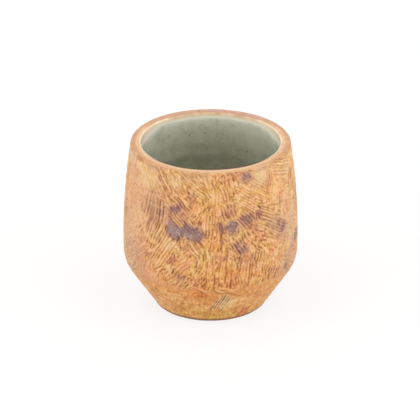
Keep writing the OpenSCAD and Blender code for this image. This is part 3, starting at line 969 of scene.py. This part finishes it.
def wash_finish():
    f = Finish("ochre_wash")
    grain = f.noise(1.1, 4, (1, 1, 0.6))
    tone = f.added("tone", grain, -0.32, 0.32)
    tone = f.math("ADD", tone, f.spread(f.noise(0.55, 2), -0.24, 0.24))
    colour = f.colours(tone, [
        (0.0, 180, 102, 34), (0.35, 228, 154, 78), (0.65, 254, 192, 116), (1.0, 255, 224, 168),
    ])
    colour = f.tinted(colour, [
        ("low", 0.5, (246, 246, 218), "MULTIPLY"),
        ("olive", 1.0, (244, 248, 210), "MULTIPLY"),
        ("orange", 1.0, (252, 222, 196), "MULTIPLY"),
        ("corner", 0.5, (250, 228, 206), "MULTIPLY"),
        ("turned", 0.25, (180, 112, 54)),
        # Painted shadow under each smeared ridge at the corner
        ("under", 0.9, (150, 80, 34)),
        ("burr", 0.9, (255, 192, 126)),
        # Painted highlight on the combed crests of the bevel
        ("crest_highlight", 0.8, (255, 222, 176)),
        # Comb marks: partly the wash's own colour, partly painted shade
        ("mark", 1.1, (112, 68, 30)),
        # The foot's edge: partly dark clay, partly painted contact shadow
        ("foot", 0.9, (100, 64, 28)),
    ])
    return f.finished(colour, f.spread(grain, 0.46, 0.62), bump=(0.35, 0.05, 0.6))


# The clay itself, seen at the lip and under the foot

def make_body():
    ring_r = FOOT_R - FOOT_RING
    recess_r = ring_r - FOOT_TURN
    foot_path = Path(
        [0.6, FOOT_RECESS],
        turn([recess_r - 2, FOOT_RECESS], [recess_r, FOOT_RECESS], [ring_r - 0.6, 1.2]),
        turn([ring_r - 0.5, 0.8], [ring_r, 0], [ring_r + 0.8, 0], 12),
        turn(FOOT - [FOOT_TURN, 0], FOOT, FOOT + FOOT_TURN * BEVEL_WAY),
    )
    top_path = Path(LIP - [LIP_TURN, 0], [MOUTH_R + LIP_TURN, CUP_H])
    outer_runs = [(3, 0.3), (SLIP_TOP_S - 5, HIDDEN_STEP), (outside.length, LIP_STEP)]
    inner_runs = [(5, TOP_STEP), (inside.length - 0.6, HIDDEN_STEP)]
    foot = Sheet(foot_path, steps(0, (foot_path.length, FOOT_STEP)), BODY_COLUMNS)
    outer = Sheet(outside, steps(0, *outer_runs)[1:], BODY_COLUMNS)
    top = Sheet(top_path, steps(0, (top_path.length, TOP_STEP))[1:], BODY_COLUMNS)
    inner = Sheet(inside, steps(0, *inner_runs)[1:], BODY_COLUMNS)
    sheets = [foot, outer, top, inner]

    def joined(*parts):
        """One value a row, or a value for all rows of a sheet, from the foot to the hollow."""
        return np.concatenate([np.broadcast_to(p, s.s.shape) for p, s in zip(parts, sheets)])

    rough = [0.05 * s.noise(5, 101, 2) + 0.02 * s.noise(1, 102) - 0.05 for s in sheets]
    covered = slip_edge(outer.azimuth) - outer.s
    spiral = 0.12 * np.sin(2 * math.pi * foot.s / 1.9 + foot.azimuth)
    past_top = top.s - top_path.length
    heights = [
        (rough[0] + spiral * ramp(ring_r - 1, ring_r - 3, foot.r)) * ramp(0.05, 0.6, foot.z),
        rough[1] - 0.72 * ramp(0, 1.3, covered) * ramp(0.2, 3, outer.s),
        rough[2] - 0.127 * ramp(-0.7, 0, past_top),
        rough[3] - 0.7 * ramp(-0.6, 1.6, inner.s),
    ]
    points = np.concatenate([s.raised(h) for s, h in zip(sheets, heights)])
    edge = joined(0, ramp(SLIP_TOP_S + 0.5, outside.length, outer.s), ramp(top_path.length, 0, top.s), 0)
    low = joined(1, ramp(6, 3, outer.s), 0, 0)
    down = joined(-9.0, -9.0, past_top, inner.s)
    front = ramp(0.4, 0.95, np.cos(foot.azimuth))
    back = ramp(0.3, 0.95, -np.cos(foot.azimuth))
    creamy = glaze_edges(foot.azimuth)[0]
    values = {
        "foot": low,
        "edge": edge,
        "pale": (1 - low) * front * (1 - 0.6 * edge),
        "pink": (1 - low) * back,
        "glazed": ramp(creamy - 0.3, creamy + 2.4, down) * (1 - 0.5 * back),
    }
    map_rows = np.linspace(0.02, 0.98, len(points))
    poles = (FOOT_RECESS - 0.05, HOLLOW_H - 0.75)
    what = ("cup_clay", "stoneware_body", "stoneware")
    turned_piece(what, body_finish(), points, values, map_rows, poles=poles)


def body_finish():
    f = Finish("stoneware")
    grain = f.noise(0.7, 3)
    colour = f.colours(f.math("ADD", f.noise(4, 3), f.spread(grain, -0.14, 0.14)), [
        (0.3, 190, 136, 98), (0.5, 204, 152, 112), (0.7, 216, 168, 130),
    ])
    colour = f.tinted(colour, [("pink", 0.7, (194, 156, 142)), ("edge", 0.4, (202, 146, 102))])
    colour = f.blend(f.span(f.noise(2.2, 2), 0.55, 0.66, 0, 0.5), colour, (188, 126, 92))
    colour = f.tinted(colour, [
        ("pale", 0.7, (230, 190, 140)),
        ("glazed", 0.9, (235, 200, 154)),
        ("foot", 0.8, (150, 98, 54)),
    ])
    specks = f.span(f.noise(1.1, 1), 0.68, 0.74, 0, 0.5)
    colour = f.blend(specks, colour, (128, 82, 56))
    return f.finished(colour, f.spread(grain, 0.46, 0.6), bump=(0.35, 0.05, 0.5))


# Celadon glaze in the hollow

def make_lining():
    rows = steps(0, (10, LIP_STEP), (inside.length - 0.5, PLAIN_STEP))
    glaze = Sheet(inside, rows, BODY_COLUMNS)
    back = Sheet(inside, steps(inside.length - 0.5, (0.15, HIDDEN_STEP)), BODY_COLUMNS)
    s = glaze.s
    rings = np.sin(2 * math.pi * s / RING_PITCH + glaze.azimuth) * ramp(8, 24, s)
    height = 0.1 * rings + 0.06 * glaze.noise(7, 111, 2) - 0.1
    height = height * ramp(inside.length, inside.length - 6, s)
    shore = 0.6 * glaze.noise(4, 112, 2)
    height = height - 0.3 * ramp(0.5, -0.5, s + 0.5 * shore)
    height = height + SWELL_H * (ramp(0.3, 1.6, s) * ramp(16, 6, s))
    front = ramp(0.3, 0.8, np.cos(glaze.azimuth))
    height = height + BEAD_H * (ramp(0.7, 1.4, s) * ramp(3.2, 1.7, s)) * front
    # Painted shade: a matte dark brown line along the front of the glaze's edge at the lip.
    front_edge_shade = ramp(0.5, 0.8, s) * ramp(1.9, 1.4, s) * front
    creamy, full = glaze_edges(glaze.azimuth)
    depth = s + 0.8 * shore * ramp(8, 2, s)
    depth = depth + 2.0 * glaze.noise(9, 113) * ramp(4, 12, s)
    thin_share = ((depth - creamy) / (full - creamy)).clip(0, 1)
    # Painted light: the glaze is painted paler on the left side.
    left = ramp(0.2, 0.9, -np.sin(glaze.azimuth))
    depth = 0.2 * thin_share + 0.8 * ((depth - full) / 36).clip(0, 1) * (1 - 0.3 * left)
    nearest = np.searchsorted(rows, back.rows).clip(0, len(rows) - 1)
    values = {
        "depth": np.concatenate([depth[nearest], depth]),
        "ring": np.concatenate([0 * depth[nearest], rings]),
        "front_edge_shade": np.concatenate([front_edge_shade[nearest], front_edge_shade]),
    }
    hidden_rows = np.linspace(0, 0.03, len(back.rows))
    seen_rows = np.linspace(0.035, 0.98, len(rows))
    hidden = back.raised(-LINING_T * ramp(-2, 6, back.s))
    points = np.concatenate([hidden, glaze.raised(height)])
    map_rows = np.concatenate([hidden_rows, seen_rows])
    poles = (HOLLOW_H - LINING_T, HOLLOW_H)
    what = ("cup_glaze", "celadon_lining", "celadon")
    turned_piece(what, lining_finish(), points, values, map_rows, poles=poles)


def lining_finish():
    f = Finish("celadon")
    f.set(IOR=1.58)
    grain = f.noise(1.0, 3)
    # From the creamy thin edge at the lip to the bottom: the creamy edge is the glaze's own colour, the
    # near-white stops below it are partly painted sheen, and the darkening towards the bottom is partly
    # painted shade.
    colour = f.colours(f.value("depth"), [
        (0.0, 192, 148, 117), (0.02, 204, 162, 124), (0.035, 218, 180, 140), (0.055, 238, 206, 168),
        (0.085, 255, 232, 200), (0.12, 254, 242, 219), (0.15, 254, 250, 232), (0.18, 250, 246, 230),
        (0.2, 230, 230, 212), (0.235, 210, 210, 192), (0.36, 191, 192, 172), (0.64, 160, 162, 140),
        (1.0, 156, 158, 135),
    ])
    inner = f.span(f.value("depth"), 0.1, 0.22)
    shade = f.math("ADD", f.spread(f.noise(5, 4), -0.12, 0.12), f.spread(grain, -0.08, 0.08))
    shade = f.math("ADD", shade, f.math("MULTIPLY", f.value("ring"), 0.05))
    shade = f.math("MULTIPLY", shade, inner)
    colour = f.blend(f.math("MULTIPLY", shade, -2.0), colour, (126, 130, 106))
    colour = f.blend(f.math("MULTIPLY", shade, 1.4), colour, (206, 208, 194))
    specks = f.math("MULTIPLY", f.span(f.noise(1.8, 0), 0.8, 0.88, 0, 0.6), inner)
    colour = f.blend(specks, colour, (84, 84, 66))
    # Painted shade along the front of the lip's inner edge
    colour = f.blend(f.value("front_edge_shade"), colour, (78, 51, 20))
    roughness = f.math("MAXIMUM", f.spread(grain, 0.16, 0.26), f.value("front_edge_shade"))
    return f.finished(colour, roughness, bump=(1.5, 0.03, 0.5))


# Camera, floor and light. The floor and the lamps are in metres.

VIEW_ELEVATION = 25.24
VIEW_DISTANCE = 1500.0
VIEW_AIM = (-0.25, 0.0, 44.6)
LENS = 278.1
CLIP_END = 20
WHITE = (1, 1, 1, 1)
FLOOR_HALF = 3.0
FLOOR_COLOUR = (0.55, 0.52, 0.46, 1)
GLOW_COLOUR = (0.955, 0.967, 0.99, 1)
GLOW_STRENGTH = 1.28
GLOW_SHARE = 0.64
SKY_STRENGTH = 1.05
LAMP_SIZE = 1.2
LAMP_POWER = 4.5
LAMP_PLACE = (1.2, -0.55, 0.75)
LAMP_TILT = math.radians(62)
LAMP_SWING = math.radians(65.4)


def make_camera():
    camera = bpy.data.cameras.new("camera")
    camera.lens = LENS
    camera.clip_end = CLIP_END
    holder = new_object("camera", camera)
    up = math.radians(VIEW_ELEVATION)
    aim = np.array(VIEW_AIM)
    holder.location = (aim + VIEW_DISTANCE * np.array([0, -math.cos(up), math.sin(up)])) * MM
    holder.rotation_euler = (math.pi / 2 - up, 0, 0)
    bpy.context.scene.camera = holder


def make_floor():
    corners = [(x * FLOOR_HALF, y * FLOOR_HALF, 0) for x, y in ((-1, -1), (1, -1), (1, 1), (-1, 1))]
    mesh = bpy.data.meshes.new("floor")
    mesh.from_pydata(corners, [], [(0, 1, 2, 3)])
    floor = new_object("floor", mesh)
    f = Finish("floor")
    f.set(Base_Color=FLOOR_COLOUR, Roughness=0.9, Specular_IOR_Level=0.0)
    glow = f.add("ShaderNodeEmission", {"Color": GLOW_COLOUR, "Strength": GLOW_STRENGTH})
    f.surface("Material Output", f.math("MULTIPLY", f.seen_directly(), GLOW_SHARE), f.shader, glow)
    mesh.materials.append(f.material)


def make_light():
    world = bpy.data.worlds.new("world")
    world.use_nodes = True
    n = Nodes(world.node_tree)
    sky = n.tree.nodes["Background"]
    n.put(sky.inputs["Color"], WHITE)
    n.put(sky.inputs["Strength"], SKY_STRENGTH)
    white = n.add("ShaderNodeBackground", {"Color": WHITE, "Strength": 1.0})
    n.surface("World Output", n.seen_directly(), sky, white)
    bpy.context.scene.world = world
    x, y, z = LAMP_PLACE
    for name, side in (("left", -1), ("right", 1)):
        lamp = bpy.data.lights.new(name, "AREA")
        lamp.shape = "DISK"
        lamp.size = LAMP_SIZE
        lamp.energy = LAMP_POWER
        holder = new_object(name, lamp)
        holder.location = (side * x, y, z)
        holder.rotation_euler = (LAMP_TILT, 0, side * LAMP_SWING)


make_slip()
make_iron()
make_wash()
make_body()
make_lining()
make_camera()
make_floor()
make_light()
bpy.context.scene.view_settings.view_transform = "Standard"
